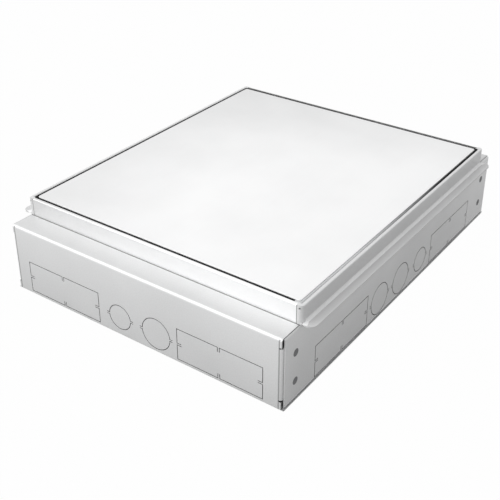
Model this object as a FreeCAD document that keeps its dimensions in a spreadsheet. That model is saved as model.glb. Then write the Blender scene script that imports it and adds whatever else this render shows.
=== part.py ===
import FreeCAD, Part

import math
import os
from types import SimpleNamespace

import Sketcher
from FreeCAD import Placement, Rotation, Vector

# Floor socket box: a folded sheet-steel box with knock-outs for cable ducts and conduits, a levelling
# collar that slides up out of it on four screws, and a lift-out lid. Inside, two carriers hold three
# power sockets and three data outlets, which face each other across a partition.
# Millimetres. The origin is on the floor at the middle of the base, +Z is up and -Y is the front.

SIZES = [
    # the folded box
    ("box_width", 260, "outside width, left to right"),
    ("box_depth", 340, "outside depth, front to rear"),
    ("box_height", 60, "height of the ledge"),
    ("box_sheet", 1.2, "sheet of the box"),
    ("bend_inside", 1.0, "inside radius of every fold"),
    ("ledge_width", 26, "ledge at front and rear, under the collar"),
    ("ledge_lip", 8, "lip turned down at the ledge's inner edge"),
    ("tab_bottom", 9, "lower end of the corner tabs"),
    ("tab_top", 52, "upper end of the corner tabs"),
    ("tab_length", 25, "corner tab, from the wall's face"),
    ("relief_notch", 1.2, "relief notch above and below a tab"),
    ("rivet_diameter", 6, "flush rivet"),
    ("rivet_inset", 15, "rivet from the wall's face"),
    ("rivet_low", 17.5, "height of the lower rivets"),
    ("rivet_high", 41.5, "height of the upper rivets"),
    # the side plates
    ("side_setback", 2.2, "side plate's end behind the wall's face"),
    ("seam_gap", 0.5, "seam between ledge or wall and side plate"),
    ("side_return", 8, "return at the top of a side plate"),
    ("side_foot", 15, "foot at the bottom of a side plate"),
    ("side_fold_end", 28, "end of return and foot, from the wall's face"),
    # the knock-outs
    ("knockout_height", 17.1, "height of every knock-out's centre"),
    ("duct_width", 75, "knock-out for a flat duct"),
    ("duct_height", 27, "knock-out for a flat duct"),
    ("end_duct_offset", 76, "ducts in front and rear wall, from the middle"),
    ("side_duct_offset", 92, "ducts in a side plate, from the middle"),
    ("small_conduit", 21, "knock-out for a 20 mm conduit"),
    ("large_conduit", 26.5, "knock-out for a 25 mm conduit"),
    ("end_small_offset", 17, "small conduit of an end wall, left of the middle"),
    ("end_large_offset", 18.5, "large conduit of an end wall, right of the middle"),
    ("side_conduit_pitch", 35, "pitch of a side plate's three conduits"),
    ("slit", 0.55, "cut round a knock-out"),
    ("bridge", 1.1, "strip that holds a knock-out"),
    ("duct_tick", 4, "cuts beside a bridge, duct"),
    ("conduit_tick", 2.2, "cuts beside a bridge, conduit"),
    # fixings in the base
    ("fixing_x", 36, "fixing holes, from the middle"),
    ("fixing_end", 70, "fixing holes, from the wall's face"),
    ("fixing_hole", 6.5, "fixing hole"),
    # the collar
    ("collar_overhang", 0.5, "collar's side wall outside the side plate"),
    ("ledge_shown", 21, "ledge in front of the collar and behind it"),
    ("collar_rise", 15, "collar above the ledge at its lowest"),
    ("collar_travel", 15, "how far the collar lifts"),
    ("collar_sheet", 1.2, "sheet of the collar"),
    ("rim_width", 3, "rim that frames the lid"),
    ("rim_round", 0.9, "rim's outer edge"),
    ("rim_fold_gap", 0.6, "gap in the rim's fold"),
    ("seat_drop", 5, "lid seat below the rim"),
    ("seat_width", 7.5, "lid seat, from the rim's inner face"),
    ("skirt_drop", 30, "skirt below the lid seat"),
    ("flange_reach", 8.8, "side flange, outwards"),
    ("cove", 2.5, "cove between side wall and flange"),
    ("flange_round", 5, "flange's rounded ends"),
    ("corner_return", 5, "side bar's return round a corner"),
    ("corner_round", 3, "outside radius of the collar's corners"),
    ("corner_relief", 1.6, "relief hole at the collar's corners"),
    # seal and lid
    ("lid_sheet", 3, "lid plate"),
    ("lid_gap", 2.25, "gap between rim and lid"),
    ("lid_corner", 2, "lid's corner radius"),
    ("lid_bevel", 0.3, "lid's top edge"),
    ("seal_clearance", 0.1, "seal to rim"),
    ("seal_wall", 1.9, "seal's upright leg"),
    ("seal_foot", 5.4, "seal's flat leg"),
    ("seal_below", 0.7, "seal's top below the rim"),
    ("hat_inset", 18.25, "stiffener's end from the lid's edge"),
    ("hat_width", 24, "stiffener's channel"),
    ("hat_depth", 10, "stiffener's channel"),
    ("hat_flange", 10, "stiffener's flanges"),
    ("hat_sheet", 1, "stiffener's sheet"),
    ("hat_pitch", 82, "between stiffeners"),
    # levelling gear
    ("screw_from_side", 24.5, "levelling screws, from the collar's side wall"),
    ("screw_from_end", 24, "levelling screws, from the collar's end wall"),
    ("screw_diameter", 5.7, "levelling screw over its thread"),
    ("screw_clearance", 0.3, "screw to nut and pad"),
    ("screw_flats", 10, "levelling screw's hexagon head"),
    ("screw_head_height", 4, "levelling screw's head"),
    ("screw_spare", 2.5, "nut to head with the collar up"),
    ("pad_side", 16, "square levelling pad"),
    ("pad_height", 2.5, "levelling pad"),
    ("bracket_sheet", 1.5, "levelling bracket"),
    ("bracket_width", 22, "levelling bracket"),
    ("bracket_leg", 16, "levelling bracket's upright leg"),
    ("bracket_below", 6, "bracket below the skirt"),
    ("bracket_past_screw", 10, "bracket's arm past the screw"),
    ("nut_flats", 10, "weld nut across flats"),
    ("nut_height", 5, "weld nut"),
    # device carriers and partition
    ("wiring_room", 58.8, "from a side plate to a carrier's face"),
    ("carrier_end", 59, "end of carriers, covers and partition, from the wall's face"),
    ("carrier_top", 56, "height of the carriers"),
    ("carrier_foot", 14, "carrier's foot"),
    ("carrier_shelf", 14, "carrier's top fold"),
    ("partition_top", 48, "height of the partition"),
    ("partition_foot", 12, "partition's foot"),
    ("partition_round", 12, "partition's upper corners"),
    ("device_height", 28.7, "height of the outlets' centres"),
    ("device_pitch", 60, "between outlets"),
    ("device_window", 45.2, "window for an outlet"),
    ("foot_screw_end", 13, "foot screws, from the carrier's end"),
    ("foot_screw", 4, "foot screw"),
    ("foot_screw_flats", 7, "foot screw's hexagon head"),
    ("foot_screw_head_height", 2.6, "foot screw's head"),
    ("cover_reach", 47, "wiring cover, from the carrier's face"),
    ("cover_drop", 11, "wiring cover's outer edge, turned down"),
    ("cover_screw", 3, "cover screw"),
    ("cover_screw_flats", 5.5, "cover screw's hexagon head"),
    ("cover_screw_head_height", 2, "cover screw's head"),
    ("cover_screw_length", 6, "cover screw's shank"),
    ("cover_screw_y", 30, "cover screws, from the middle"),
    ("hole_clearance", 0.2, "hole to screw, on the radius"),
    # outlets, common
    ("bezel_side", 49, "bezel of an outlet"),
    ("bezel_depth", 2, "bezel of an outlet"),
    ("bezel_bevel", 0.7, "bezel's front edge"),
    ("device_body", 44.8, "outlet's body"),
    # power sockets
    ("cup_diameter", 39.5, "plug recess"),
    ("cup_depth", 17.5, "plug recess, from the bezel"),
    ("cup_floor", 2, "floor of the plug recess"),
    ("guide_depth", 2.6, "side guides in the recess"),
    ("guide_width", 5, "side guides in the recess"),
    ("guide_below", 1.5, "side guides below the bezel's face"),
    ("pin_pitch", 19, "between the pin holes"),
    ("pin_hole", 5.6, "pin hole"),
    ("block_depth", 11, "terminal block behind the recess"),
    ("chamber", 9, "contact chamber's side"),
    ("chamber_depth", 9, "contact chamber"),
    ("contact_side", 7.4, "contact clip"),
    ("contact_leaf", 0.8, "contact clip's sheet"),
    ("contact_length", 5.8, "contact clip"),
    ("shutter_thick", 1.8, "pin shutter"),
    ("shutter_width", 8, "pin shutter"),
    ("shutter_length", 26, "pin shutter"),
    ("shutter_travel", 6.5, "pin shutter"),
    ("device_clearance", 0.3, "between the parts of an outlet"),
    ("strap_thick", 0.8, "earth strap"),
    ("strap_width", 4.6, "earth strap"),
    ("strap_span", 37.2, "earth strap over its two arms"),
    ("strap_tip_below", 6, "tips of the arms below the bezel's face"),
    # data outlets
    ("data_body_depth", 6, "data plate's body"),
    ("jack_width", 14.8, "jack"),
    ("jack_height", 16.8, "jack"),
    ("jack_depth", 28, "jack behind the carrier's face"),
    ("jack_proud", 1, "jack in front of the carrier's face"),
    ("jack_offset", 11, "jacks, from the plate's middle"),
    ("port_width", 11.8, "port"),
    ("port_height", 7, "port"),
    ("port_key_width", 6.4, "port's latch slot"),
    ("port_key_height", 2.4, "port's latch slot"),
    ("port_depth", 14, "port"),
    # earth terminal
    ("stud_x", 30, "earth stud, left of the middle"),
    ("stud_end", 46, "earth stud, from the rear wall's face"),
    ("stud_diameter", 5, "earth stud"),
    ("stud_length", 12, "earth stud"),
    ("stud_nut_flats", 8, "earth nut"),
    ("stud_nut_height", 4, "earth nut"),
    ("washer_diameter", 10, "earth washer"),
    ("washer_height", 1, "earth washer"),
    ("thread_clearance", 0.05, "nut or washer to its thread"),
]

doc = FreeCAD.newDocument("FloorSocketBox")
sheet = doc.addObject("Spreadsheet::Sheet", "Sizes")
for row, (alias, number, meaning) in enumerate(SIZES, start=1):
    sheet.set(f"A{row}", meaning)
    sheet.set(f"B{row}", str(number))
    sheet.setAlias(f"B{row}", alias)
doc.recompute()


class Length:
    """A length held twice: as a number, and as the formula on the sheet that gives it."""

    def __init__(self, number, formula):
        self.number = number
        self.formula = formula

    def __add__(self, other):
        other = as_length(other)
        return Length(self.number + other.number, f"({self.formula} + {other.formula})")

    def __sub__(self, other):
        return self + as_length(other) * -1

    def __mul__(self, factor):
        return Length(self.number * factor, f"({self.formula} * {factor:.12g})")

    def __truediv__(self, divisor):
        return self * (1 / divisor)

    def __neg__(self):
        return self * -1


def as_length(value):
    """A plain number counts as a length too."""
    return value if isinstance(value, Length) else Length(value, f"{value:.12g}")


ZERO = as_length(0)
s = SimpleNamespace(**{alias: Length(number, f"Sizes.{alias}") for alias, number, _ in SIZES})
s.bend_outside = s.bend_inside + s.box_sheet
s.collar_bend = s.bend_inside + s.collar_sheet
s.collar_width = s.box_width + s.collar_overhang * 2
s.collar_depth = s.box_depth - s.ledge_shown * 2
s.screw_x = s.collar_width / 2 - s.screw_from_side
s.screw_y = s.collar_depth / 2 - s.screw_from_end
s.carrier_x = s.box_width / 2 - s.box_sheet - s.wiring_room
s.carrier_length = s.box_depth - s.carrier_end * 2
s.foot_screw_y = s.carrier_length / 2 - s.foot_screw_end
s.fixing_y = s.box_depth / 2 - s.fixing_end
s.stud_y = s.box_depth / 2 - s.stud_end
s.hat_length = s.collar_width - (s.rim_width + s.lid_gap + s.hat_inset) * 2
sub_parts = []


# ---------------------------------------------------------------- sketches and features

def new_body(label):
    """A named sub-part; its label names its file."""
    body = doc.addObject("PartDesign::Body", label)
    body.Label = label
    sub_parts.append(body)
    return body


def new_sketch(body, plane, name, offset=None):
    """A sketch on one of the body's own origin planes, moved along that plane's normal by offset."""
    sketch = body.newObject("Sketcher::SketchObject", name)
    sketch.AttachmentSupport = [(origin_feature(body, plane), "")]
    sketch.MapMode = "FlatFace"
    if offset is not None:
        sketch.setExpression("AttachmentOffset.Base.z", offset.formula)
    return sketch


def origin_feature(body, role):
    return next(item for item in body.Origin.OriginFeatures if item.Role == role)


def constrain(sketch, rules):
    """Adds (constraint, length) pairs; each one with a length is tied to the sheet."""
    indexes = sketch.addConstraint([rule for rule, _ in rules])
    for index, (_, length) in zip(indexes, rules):
        if length is not None:
            sketch.setExpression(f"Constraints[{index}]", length.formula)


def pins(element, point, place):
    """Rules that hold one point of an element at (across, up) from the sketch's origin."""
    across, up = (as_length(distance) for distance in place)
    return [(Sketcher.Constraint("DistanceX", -1, 1, element, point, across.number), across),
            (Sketcher.Constraint("DistanceY", -1, 1, element, point, up.number), up)]


def join(first, first_point, second, second_point):
    return (Sketcher.Constraint("Coincident", first, first_point, second, second_point), None)


def arc_between(centre, radius, start, end):
    """An arc that runs anticlockwise from start to end."""
    first = math.atan2(start[1] - centre[1], start[0] - centre[0])
    last = math.atan2(end[1] - centre[1], end[0] - centre[0])
    if last <= first:
        last += 2 * math.pi
    return Part.ArcOfCircle(Part.Circle(Vector(*centre, 0), Vector(0, 0, 1), radius), first, last)


def step(start, end):
    """The direction, -1, 0 or 1 each way, from one corner to the next along an axis."""
    return tuple((gap > 1e-9) - (gap < -1e-9)
                 for gap in (end[0].number - start[0].number, end[1].number - start[1].number))


def draw_ring(sketch, corners):
    """A closed outline of (across, up) corners. A third value rounds a square corner to that radius."""
    corners = [tuple(as_length(value) for value in corner) for corner in corners]
    count = len(corners)
    enters, leaves, arcs = [], [], []
    for i, corner in enumerate(corners):
        place = corner[:2]
        if len(corner) == 2:
            enters.append(place)
            leaves.append(place)
            arcs.append(None)
            continue
        radius = corner[2]
        before = step(corners[i - 1], corner)
        after = step(corner, corners[(i + 1) % count])
        enters.append(tuple(p - radius * d for p, d in zip(place, before)))
        leaves.append(tuple(p + radius * d for p, d in zip(place, after)))
        centre = [(p - radius * b + radius * a).number for p, b, a in zip(place, before, after)]
        left_turn = before[0] * after[1] - before[1] * after[0] > 0
        arcs.append((centre, radius, left_turn))

    first_line = sketch.GeometryCount
    lines = [Part.LineSegment(Vector(*(v.number for v in leaves[i]), 0),
                              Vector(*(v.number for v in enters[(i + 1) % count]), 0))
             for i in range(count)]
    sketch.addGeometry(lines, False)
    rules = []
    for i in range(count):
        line = first_line + i
        following = first_line + (i + 1) % count
        rules += pins(line, 1, leaves[i])
        if arcs[(i + 1) % count] is None:
            rules.append(join(line, 2, following, 1))
        else:
            rules += pins(line, 2, enters[(i + 1) % count])
    for i, arc in enumerate(arcs):
        if arc is None:
            continue
        centre, radius, left_turn = arc
        ends = [[v.number for v in enters[i]], [v.number for v in leaves[i]]]
        element = sketch.addGeometry(arc_between(centre, radius.number, *(ends if left_turn else ends[::-1])))
        rules.append(join(element, 1 if left_turn else 2, first_line + (i - 1) % count, 2))
        rules.append(join(element, 2 if left_turn else 1, first_line + i, 1))
        rules.append((Sketcher.Constraint("Radius", element, radius.number), radius))
    constrain(sketch, rules)


def draw_circle(sketch, centre, diameter):
    place = [as_length(value).number for value in centre]
    radius = diameter / 2
    element = sketch.addGeometry(Part.Circle(Vector(*place, 0), Vector(0, 0, 1), radius.number), False)
    constrain(sketch, pins(element, 3, centre) + [(Sketcher.Constraint("Radius", element, radius.number), radius)])


def rectangle(left, right, bottom, top, *radius):
    """The four corners of a rectangle, all sharp or all rounded."""
    return [(left, bottom, *radius), (right, bottom, *radius), (right, top, *radius), (left, top, *radius)]


def centred(across, up, width, height, *radius):
    across, up = as_length(across), as_length(up)
    return rectangle(across - width / 2, across + width / 2, up - height / 2, up + height / 2, *radius)


def polygon(across, up, flats, sides):
    """A regular polygon of this width across its flats, with a corner straight above its middle."""
    reach = flats / (2 * math.cos(math.pi / sides))
    turns = [2 * math.pi * corner / sides for corner in range(sides)]
    return [(as_length(across) + reach * math.sin(turn), as_length(up) + reach * math.cos(turn)) for turn in turns]


def hexagon(across, up, flats):
    """The outline of a nut or of a screw's head."""
    return polygon(across, up, flats, 6)


def small_round(spot, diameter):
    """A fastener's shank or hole. Twelve sides keep the many small fasteners light."""
    return polygon(*spot, diameter, 12)


def extrude(body, sketch, kind, name, length=None, symmetric=False, reverse=False):
    """A pad or pocket of the sketch; without a length it goes through everything."""
    feature = body.newObject(f"PartDesign::{kind}", name)
    feature.Profile = sketch
    feature.SideType = "Symmetric" if symmetric else "One side"
    feature.Reversed = reverse
    if length is None:
        feature.Type = "ThroughAll"
    else:
        feature.setExpression("Length", as_length(length).formula)
    sketch.Visibility = False
    return feature


def pad(body, plane, name, length, rings=(), circles=(), offset=None, symmetric=False, reverse=False):
    """Adds material: outlines and (centre, diameter) circles on a plane, extruded along its normal."""
    sketch = new_sketch(body, plane, f"{name}_outline", offset)
    for ring in rings:
        draw_ring(sketch, ring)
    for centre, diameter in circles:
        draw_circle(sketch, centre, diameter)
    return extrude(body, sketch, "Pad", name, length, symmetric, reverse)


def pocket(body, plane, name, length=None, rings=(), circles=(), offset=None, symmetric=False, reverse=False):
    """Cuts material. A pocket with a length runs against the plane's normal unless reversed."""
    sketch = new_sketch(body, plane, f"{name}_outline", offset)
    for ring in rings:
        draw_ring(sketch, ring)
    for centre, diameter in circles:
        draw_circle(sketch, centre, diameter)
    return extrude(body, sketch, "Pocket", name, length, symmetric, reverse)


def dress_edges(body, kind, name, size, chosen):
    """A fillet or chamfer on the edges of the body's tip that the test chooses."""
    doc.recompute()
    tip = body.Tip
    edges = [f"Edge{i}" for i, edge in enumerate(tip.Shape.Edges, start=1) if chosen(edge)]
    feature = body.newObject(f"PartDesign::{kind}", name)
    feature.Base = (tip, edges)
    feature.setExpression("Radius" if kind == "Fillet" else "Size", as_length(size).formula)
    return feature


def place(body, across=0, along=0, up=0, quarter_turns=0):
    """Puts a sub-part at its place, turned about the vertical by quarter turns."""
    body.Placement = Placement(Vector(0, 0, 0), Rotation(Vector(0, 0, 1), 90 * quarter_turns))
    for axis, distance in zip("xyz", (across, along, up)):
        body.setExpression(f"Placement.Base.{axis}", as_length(distance).formula)


BOTH = (-1, 1)
CORNERS = [("front_left", -1, -1), ("front_right", 1, -1), ("rear_left", -1, 1), ("rear_right", 1, 1)]


# ---------------------------------------------------------------- knock-outs

def duct_slits(across, up):
    """Four slits round a duct's knock-out. Each turns inwards beside the bridge at the middle of a side."""
    half_slit = s.slit / 2
    right, top = s.duct_width / 2, s.duct_height / 2
    tick = s.bridge / 2 + half_slit
    path = [(tick - half_slit, top - s.duct_tick),
            (tick - half_slit, top + half_slit),
            (right + half_slit, top + half_slit),
            (right + half_slit, tick - half_slit),
            (right - s.duct_tick, tick - half_slit),
            (right - s.duct_tick, tick + half_slit),
            (right - half_slit, tick + half_slit),
            (right - half_slit, top - half_slit),
            (tick + half_slit, top - half_slit),
            (tick + half_slit, top - s.duct_tick)]
    return [[(across + x * side, up + z * level) for x, z in path] for side in BOTH for level in BOTH]


def draw_conduit_slits(sketch, across, up, diameter):
    """Two half-round slits, one above and one below, that turn outwards beside the bridges at the sides."""
    half_slit = s.slit / 2
    tick = s.bridge / 2 + half_slit
    inner, outer = diameter / 2 - half_slit, diameter / 2 + half_slit
    reach = outer + s.conduit_tick
    centre = (across.number, up.number)
    for level in BOTH:
        far, near = up + (tick + half_slit) * level, up + (tick - half_slit) * level

        def crossing(radius, height):
            return math.sqrt(radius.number ** 2 - (height - up).number ** 2)

        first = sketch.GeometryCount
        arcs = []
        for radius, height in ((outer, far), (inner, near)):
            ends = [(centre[0] + crossing(radius, height) * level, height.number),
                    (centre[0] - crossing(radius, height) * level, height.number)]
            arcs.append(arc_between(centre, radius.number, *ends))
        sketch.addGeometry(arcs, False)
        rules = []
        for element, radius in ((first, outer), (first + 1, inner)):
            rules += pins(element, 3, (across, up))
            rules.append((Sketcher.Constraint("Radius", element, radius.number), radius))
        for side, end in ((level, 1), (-level, 2)):
            corners = [(across + reach * side, far), (across + reach * side, near)]
            outer_end = Vector(centre[0] + crossing(outer, far) * side, far.number, 0)
            inner_end = Vector(centre[0] + crossing(inner, near) * side, near.number, 0)
            tips = [Vector(x.number, z.number, 0) for x, z in corners]
            line = sketch.GeometryCount
            sketch.addGeometry([Part.LineSegment(outer_end, tips[0]), Part.LineSegment(*tips),
                                Part.LineSegment(tips[1], inner_end)], False)
            rules += [join(first, end, line, 1), join(line, 2, line + 1, 1),
                      join(line + 1, 2, line + 2, 1), join(line + 2, 2, first + 1, end)]
            rules += pins(line + 1, 1, corners[0]) + pins(line + 1, 2, corners[1])
            rules += [pins(line, 1, (across, far))[1], pins(line + 2, 2, (across, near))[1]]
        constrain(sketch, rules)


def knock_outs(body, plane, ducts, conduits):
    """Cuts the slits of a wall's knock-outs right through the sheet on both sides of the middle plane."""
    for number, across in enumerate(ducts, start=1):
        pocket(body, plane, f"duct_slits_{number}", rings=duct_slits(across, s.knockout_height), symmetric=True)
    for number, (across, diameter) in enumerate(conduits, start=1):
        sketch = new_sketch(body, plane, f"conduit_slits_{number}_outline")
        draw_conduit_slits(sketch, across, s.knockout_height, diameter)
        extrude(body, sketch, "Pocket", f"conduit_slits_{number}", symmetric=True)


# ---------------------------------------------------------------- the folded box

wall_end = s.box_width / 2 - s.box_sheet          # where the front and rear walls meet the side plates
wall_face = s.box_depth / 2
floor = s.box_sheet                               # top of the base
rivet_places = [((wall_face - s.rivet_inset) * end, height) for end in BOTH
                for height in (s.rivet_low, s.rivet_high)]


def box_body():
    """Base, front and rear walls, ledges and lips in one folded blank, with a tab at each corner."""
    body = new_body("box_body")
    ledge_edge = wall_face - s.ledge_width
    lip_end = s.box_height - s.ledge_lip
    half = [(wall_face, ZERO, s.bend_outside), (wall_face, s.box_height, s.bend_outside),
            (ledge_edge, s.box_height, s.bend_outside), (ledge_edge, lip_end),
            (ledge_edge + s.box_sheet, lip_end),
            (ledge_edge + s.box_sheet, s.box_height - s.box_sheet, s.bend_inside),
            (wall_face - s.box_sheet, s.box_height - s.box_sheet, s.bend_inside),
            (wall_face - s.box_sheet, floor, s.bend_inside)]
    mirrored = [(-corner[0], *corner[1:]) for corner in reversed(half)]
    pad(body, "YZ_Plane", "folded_blank", s.box_width, [half + mirrored], symmetric=True)

    beside = [rectangle((wall_end - s.seam_gap) * side, s.box_width / 2 * side, floor, s.box_height + s.box_sheet)
              for side in BOTH]
    pocket(body, "XZ_Plane", "side_plate_room", rings=beside, symmetric=True)
    bend_start = wall_end - s.bend_outside
    relief = [rectangle(bend_start * side, s.box_width / 2 * side, s.tab_bottom - s.relief_notch,
                        s.tab_top + s.relief_notch) for side in BOTH]
    pocket(body, "XZ_Plane", "tab_relief", rings=relief, symmetric=True)
    joined = bend_start - s.box_sheet
    tabs = [[(joined * side, wall_face * end), (wall_end * side, wall_face * end, s.bend_outside),
             (wall_end * side, (wall_face - s.tab_length) * end),
             ((wall_end - s.box_sheet) * side, (wall_face - s.tab_length) * end),
             ((wall_end - s.box_sheet) * side, (wall_face - s.box_sheet) * end, s.bend_inside),
             (joined * side, (wall_face - s.box_sheet) * end)] for side in BOTH for end in BOTH]
    pad(body, "XY_Plane", "corner_tabs", s.tab_top - s.tab_bottom, tabs, offset=s.tab_bottom)
    pocket(body, "YZ_Plane", "rivet_holes", rings=[small_round(spot, s.rivet_diameter) for spot in rivet_places],
           symmetric=True)

    knock_outs(body, "XZ_Plane", [s.end_duct_offset * side for side in BOTH],
               [(-s.end_small_offset, s.small_conduit), (s.end_large_offset, s.large_conduit)])
    pocket(body, "XY_Plane", "fixing_holes", s.box_sheet, offset=floor,
           circles=[((s.fixing_x * x, s.fixing_y * y), s.fixing_hole) for x in BOTH for y in BOTH])


def side_plate(label, quarter_turns):
    """A plate with a foot on the base and a return under the collar; both sides use the same plate."""
    body = new_body(label)
    face = s.box_width / 2
    pad(body, "XZ_Plane", "folded_plate", s.box_depth - s.side_setback * 2, symmetric=True, rings=[[
        (face, floor, s.bend_outside), (face, s.box_height, s.bend_outside),
        (face - s.side_return, s.box_height), (face - s.side_return, s.box_height - s.box_sheet),
        (wall_end, s.box_height - s.box_sheet, s.bend_inside),
        (wall_end, floor + s.box_sheet, s.bend_inside),
        (face - s.side_foot, floor + s.box_sheet), (face - s.side_foot, floor)]])
    fold_end = wall_face - s.side_fold_end
    pocket(body, "XY_Plane", "fold_ends", symmetric=True, rings=[
        rectangle(face - s.side_foot, wall_end, fold_end * end, wall_face * end) for end in BOTH])
    knock_outs(body, "YZ_Plane", [s.side_duct_offset * end for end in BOTH],
               [(-s.side_conduit_pitch, s.large_conduit), (ZERO, s.large_conduit),
                (s.side_conduit_pitch, s.small_conduit)])
    pocket(body, "YZ_Plane", "rivet_holes", rings=[small_round(spot, s.rivet_diameter) for spot in rivet_places],
           symmetric=True)
    place(body, quarter_turns=quarter_turns)


def side_plate_rivets():
    """Eight flush rivets through the side plates and the corner tabs."""
    body = new_body("side_plate_rivets")
    for side, name in ((-1, "left"), (1, "right")):
        pad(body, "YZ_Plane", f"{name}_rivets", s.box_sheet * 2, offset=(wall_end - s.box_sheet) * side,
            reverse=side < 0, rings=[small_round(spot, s.rivet_diameter) for spot in rivet_places])


box_body()
side_plate("right_side_plate", 0)
side_plate("left_side_plate", 2)
side_plate_rivets()


# ---------------------------------------------------------------- levelling collar

rim = s.box_height + s.collar_rise                # top of the rim and of the lid
seat = rim - s.seat_drop                          # where the seal and the lid rest
skirt_end = seat - s.skirt_drop
seat_end = s.rim_width + s.seat_width             # inwards from the collar's outer face
inner_wall = s.collar_sheet + s.rim_fold_gap


def bar_section(outside, foot):
    """Section of a collar bar: wall, folded rim, lid seat and skirt. outside is its outer face."""
    return [*foot,
            (outside, rim, s.rim_round), (outside - s.rim_width, rim, s.rim_round),
            (outside - s.rim_width, seat), (outside - seat_end, seat, s.collar_bend),
            (outside - seat_end, skirt_end), (outside - seat_end + s.collar_sheet, skirt_end),
            (outside - seat_end + s.collar_sheet, seat - s.collar_sheet, s.bend_inside),
            (outside - inner_wall, seat - s.collar_sheet), (outside - inner_wall, rim - s.collar_sheet),
            (outside - s.collar_sheet, rim - s.collar_sheet)]


def end_bar(label, quarter_turns):
    """Front or rear bar of the collar, between the side bars' returns. It stands on the ledge."""
    body = new_body(label)
    outside = s.collar_depth / 2
    length = s.collar_width - s.corner_return * 2
    foot = [(outside - s.collar_sheet, s.box_height), (outside, s.box_height)]
    pad(body, "YZ_Plane", "folded_bar", length, [bar_section(outside, foot)], symmetric=True)
    seat_room = [rectangle((s.collar_width / 2 - seat_end) * side, length / 2 * side,
                           outside - seat_end, outside - s.rim_width) for side in BOTH]
    pocket(body, "XY_Plane", "seat_ends", rings=seat_room, symmetric=True)
    place(body, quarter_turns=quarter_turns)


def side_bar(label, quarter_turns):
    """Side bar of the collar, with a flange outwards over the screed and returns round both corners."""
    body = new_body(label)
    outside, end = s.collar_width / 2, s.collar_depth / 2
    tip = outside + s.flange_reach
    foot = [(outside - s.collar_sheet, s.box_height, s.cove + s.collar_sheet), (tip, s.box_height),
            (tip, s.box_height + s.collar_sheet), (outside, s.box_height + s.collar_sheet, s.cove)]
    pad(body, "XZ_Plane", "folded_bar", s.collar_depth, [bar_section(outside, foot)], symmetric=True)
    seat_room = [rectangle(outside - seat_end, outside - s.rim_width, (end - s.rim_width) * side, end * side)
                 for side in BOTH]
    pocket(body, "XY_Plane", "seat_ends", rings=seat_room, symmetric=True)
    past_ledge = [rectangle(outside - seat_end, outside - seat_end + s.collar_bend, (end - seat_end) * side,
                            end * side) for side in BOTH]
    pocket(body, "XY_Plane", "skirt_ends", s.skirt_drop, offset=seat - s.collar_sheet, rings=past_ledge)
    flange_top = s.box_height + s.collar_sheet
    return_edge = outside - s.corner_return
    pad(body, "XY_Plane", "corner_returns", rim - s.box_height, offset=s.box_height, rings=[
        rectangle(return_edge, outside - s.collar_sheet / 2, (end - s.collar_sheet) * side, end * side)
        for side in BOTH])
    pad(body, "XY_Plane", "corner_tops", s.collar_sheet, offset=rim - s.collar_sheet, rings=[
        rectangle(return_edge, outside - inner_wall, (end - s.rim_width) * side, end * side) for side in BOTH])
    pocket(body, "XZ_Plane", "corner_reliefs", symmetric=True, rings=[
        small_round((outside - s.corner_return / 2, rim - s.collar_sheet * 2), s.corner_relief)])
    radius, past = s.corner_round, s.cove
    start = radius + s.collar_sheet
    for side, name in ((-1, "front"), (1, "rear")):
        sketch = new_sketch(body, "XY_Plane", f"{name}_corner_outline", flange_top)
        draw_ring(sketch, [(outside, (end - start) * side), (outside, end * side, radius),
                           (outside - start, end * side), (outside - start, (end + past) * side),
                           (outside + past, (end + past) * side), (outside + past, (end - start) * side)])
        extrude(body, sketch, "Pocket", f"{name}_corner", reverse=True)
    dress_edges(body, "Fillet", "flange_ends", s.flange_round, lambda edge: upright_at(edge, tip.number))
    place(body, quarter_turns=quarter_turns)


def upright_at(edge, across):
    """True for an upright edge whose points all lie at this distance along X."""
    points = [vertex.Point for vertex in edge.Vertexes]
    return (len(points) == 2 and all(abs(point.x - across) < 1e-6 for point in points)
            and abs(points[0].y - points[1].y) < 1e-6)


def lid_seal():
    """One rubber strip of L section on the seat: the lid lies on its foot and its edge stays in sight."""
    body = new_body("lid_seal")
    inset = s.rim_width + s.seal_clearance
    upright = seat + s.seat_drop - s.seal_below
    foot_top = rim - s.lid_sheet

    def frame(reach):
        return centred(0, 0, s.collar_width - reach * 2, s.collar_depth - reach * 2)

    pad(body, "XY_Plane", "foot", foot_top - seat, [frame(inset), frame(inset + s.seal_foot)], offset=seat)
    pad(body, "XY_Plane", "upright", upright - seat, [frame(inset), frame(inset + s.seal_wall)], offset=seat)


def levelling_bracket(name, side, end):
    """Angle welded to the collar's skirt. Its arm carries the nut that climbs the levelling screw."""
    body = new_body(f"levelling_bracket_{name}")
    skirt = s.collar_width / 2 - seat_end
    reach = skirt - s.screw_x + s.bracket_past_screw
    foot = skirt_end - s.bracket_below
    section = [(ZERO, foot, s.bend_inside + s.bracket_sheet), (ZERO, foot + s.bracket_leg),
               (-s.bracket_sheet, foot + s.bracket_leg),
               (-s.bracket_sheet, foot + s.bracket_sheet, s.bend_inside),
               (-reach, foot + s.bracket_sheet), (-reach, foot)]
    pad(body, "XZ_Plane", "angle", s.bracket_width, [section], symmetric=True)
    pocket(body, "XY_Plane", "screw_hole", symmetric=True,
           rings=[small_round((s.screw_x - skirt, ZERO), s.screw_diameter + s.screw_clearance * 2)])
    place(body, skirt * side, s.screw_y * end, quarter_turns=1 - side)


def levelling_nuts():
    """Four hexagon nuts welded on the brackets."""
    body = new_body("levelling_nuts")
    shelf = skirt_end - s.bracket_below + s.bracket_sheet
    spots = [(s.screw_x * x, s.screw_y * y) for x in BOTH for y in BOTH]
    bore = s.screw_diameter + s.screw_clearance * 2
    pad(body, "XY_Plane", "nuts", s.nut_height, offset=shelf, rings=[
        ring for spot in spots for ring in (hexagon(*spot, s.nut_flats), small_round(spot, bore))])


end_bar("collar_rear_bar", 0)
end_bar("collar_front_bar", 2)
side_bar("collar_right_bar", 0)
side_bar("collar_left_bar", 2)
lid_seal()
for corner in CORNERS:
    levelling_bracket(*corner)
levelling_nuts()


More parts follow.
